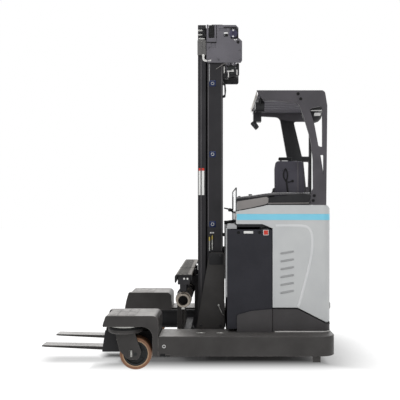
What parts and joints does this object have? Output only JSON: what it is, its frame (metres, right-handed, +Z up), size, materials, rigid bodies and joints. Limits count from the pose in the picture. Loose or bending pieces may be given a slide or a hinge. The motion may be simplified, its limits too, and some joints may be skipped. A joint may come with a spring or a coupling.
{
  "type": "multidirectional forklift",
  "caption": "Battery reach forklift with steerable load wheels, telescopic mast that reaches forward, sliding forks, side-facing cab and overhead guard.",
  "frame": {"origin": "on the floor below the middle of the parked truck's bounding box", "axes": "+Z up, -X towards the fork tips, +Y towards the side where the operator steps in"},
  "size_m": [2.4, 1.554, 2.78],
  "materials": {
    "chassis_paint": "satin",
    "panel_paint": "satin",
    "battery_paint": "satin",
    "mast_paint": "satin",
    "guard_paint": "satin",
    "skirt_plastic": "matt",
    "trim_plastic": "matt",
    "lamp_plastic": "satin",
    "tyre_polyurethane": "matt",
    "hub_iron": "satin",
    "rod_chrome": "polished",
    "shaft_steel": "brushed",
    "fork_paint": "worn satin",
    "tread_steel": "worn, anti-slip",
    "seat_fabric": "woven",
    "screen_clear": "clear",
    "motor_paint": "matt"
  },
  "bodies": {
    "chassis": {"chassis_frame": "chassis_paint", "leg_near": "chassis_paint", "leg_far": "chassis_paint", "guide_rails": "chassis_paint", "wheel_housing_near": "chassis_paint", "wheel_housing_far": "chassis_paint", "battery": "battery_paint", "side_panel_near": "panel_paint", "side_panel_far": "panel_paint", "rear_cover": "panel_paint", "skirts": "skirt_plastic", "cab_floor": "trim_plastic", "drive_motor": "motor_paint", "console": "trim_plastic", "seat_base": "trim_plastic", "seat_cushion": "seat_fabric", "seat_back": "seat_fabric", "top_rail": "trim_plastic", "guard_side_near": "guard_paint", "guard_side_far": "guard_paint", "guard_roof": "guard_paint", "lamps": "lamp_plastic", "screen": "screen_clear"},
    "mast_base": {"reach_carriage": "mast_paint", "mast_outer": "mast_paint", "lift_cylinders": "mast_paint"},
    "middle_stage": {"mast_middle": "mast_paint", "mast_top_plates": "guard_paint", "lift_rods": "rod_chrome"},
    "inner_stage": {"mast_inner": "mast_paint", "free_lift_cylinder": "mast_paint"},
    "free_lift_head": {"free_lift_rod": "rod_chrome"},
    "lift_carriage": {"carriage_frame": "mast_paint"},
    "tilt_head": {"tilt_frame": "mast_paint", "fork_shaft": "shaft_steel", "cover_plate": "tread_steel"},
    "near_fork": {"fork_near": "fork_paint"},
    "far_fork": {"fork_far": "fork_paint"},
    "near_knuckle": {"steer_fork_near": "chassis_paint"},
    "far_knuckle": {"steer_fork_far": "chassis_paint"},
    "near_load_wheel": {"load_wheel_near": "hub_iron", "load_tyre_near": "tyre_polyurethane"},
    "far_load_wheel": {"load_wheel_far": "hub_iron", "load_tyre_far": "tyre_polyurethane"},
    "drive_knuckle": {"drive_yoke": "hub_iron"},
    "driven_wheel": {"drive_wheel": "hub_iron", "drive_tyre": "tyre_polyurethane"},
    "hand_wheel": {"steering_wheel": "trim_plastic"}
  },
  "joints": [
    {"name": "mast_reach", "type": "slide", "parent": "chassis", "child": "mast_base", "axis": [-1, 0, 0], "range_m": [0, 0.6]},
    {"name": "mast_lift", "type": "slide", "parent": "mast_base", "child": "middle_stage", "axis": [0, 0, 1], "range_m": [0, 1.75]},
    {"name": "inner_lift", "type": "slide", "parent": "middle_stage", "child": "inner_stage", "axis": [0, 0, 1], "range_m": [0, 1.75]},
    {"name": "fork_lift", "type": "slide", "parent": "inner_stage", "child": "lift_carriage", "axis": [0, 0, 1], "range_m": [0, 1.9]},
    {"name": "free_lift_rise", "type": "slide", "parent": "inner_stage", "child": "free_lift_head", "axis": [0, 0, 1], "range_m": [0, 0.95]},
    {"name": "fork_tilt", "type": "hinge", "parent": "lift_carriage", "child": "tilt_head", "pos_m": [0.08, 0, 0.65], "axis": [0, 1, 0], "range_deg": [-2, 4]},
    {"name": "near_fork_spread", "type": "slide", "parent": "tilt_head", "child": "near_fork", "axis": [0, -1, 0], "range_m": [-0.135, 0.165]},
    {"name": "far_fork_spread", "type": "slide", "parent": "tilt_head", "child": "far_fork", "axis": [0, 1, 0], "range_m": [-0.135, 0.165]},
    {"name": "near_wheel_steer", "type": "hinge", "parent": "chassis", "child": "near_knuckle", "pos_m": [-0.428, -0.614, 0.31], "axis": [0, 0, 1], "range_deg": [-90, 0]},
    {"name": "far_wheel_steer", "type": "hinge", "parent": "chassis", "child": "far_knuckle", "pos_m": [-0.428, 0.614, 0.31], "axis": [0, 0, 1], "range_deg": [0, 90]},
    {"name": "near_wheel_roll", "type": "hinge", "parent": "near_knuckle", "child": "near_load_wheel", "pos_m": [-0.345, -0.614, 0.125], "axis": [0, 1, 0], "continuous": true},
    {"name": "far_wheel_roll", "type": "hinge", "parent": "far_knuckle", "child": "far_load_wheel", "pos_m": [-0.345, 0.614, 0.125], "axis": [0, 1, 0], "continuous": true},
    {"name": "drive_steer", "type": "hinge", "parent": "chassis", "child": "drive_knuckle", "pos_m": [0.89, -0.07, 0.37], "axis": [0, 0, 1], "range_deg": [-100, 100]},
    {"name": "drive_roll", "type": "hinge", "parent": "drive_knuckle", "child": "driven_wheel", "pos_m": [0.89, -0.07, 0.165], "axis": [0, 1, 0], "continuous": true},
    {"name": "hand_wheel_turn", "type": "hinge", "parent": "chassis", "child": "hand_wheel", "pos_m": [0.6, 0.09, 1.345], "axis": [0, 0, 1], "continuous": true}
  ],
  "couplings": [
    {"joint": "inner_lift", "follows": "mast_lift", "ratio": 1},
    {"joint": "free_lift_rise", "follows": "fork_lift", "ratio": 0.5}
  ]
}
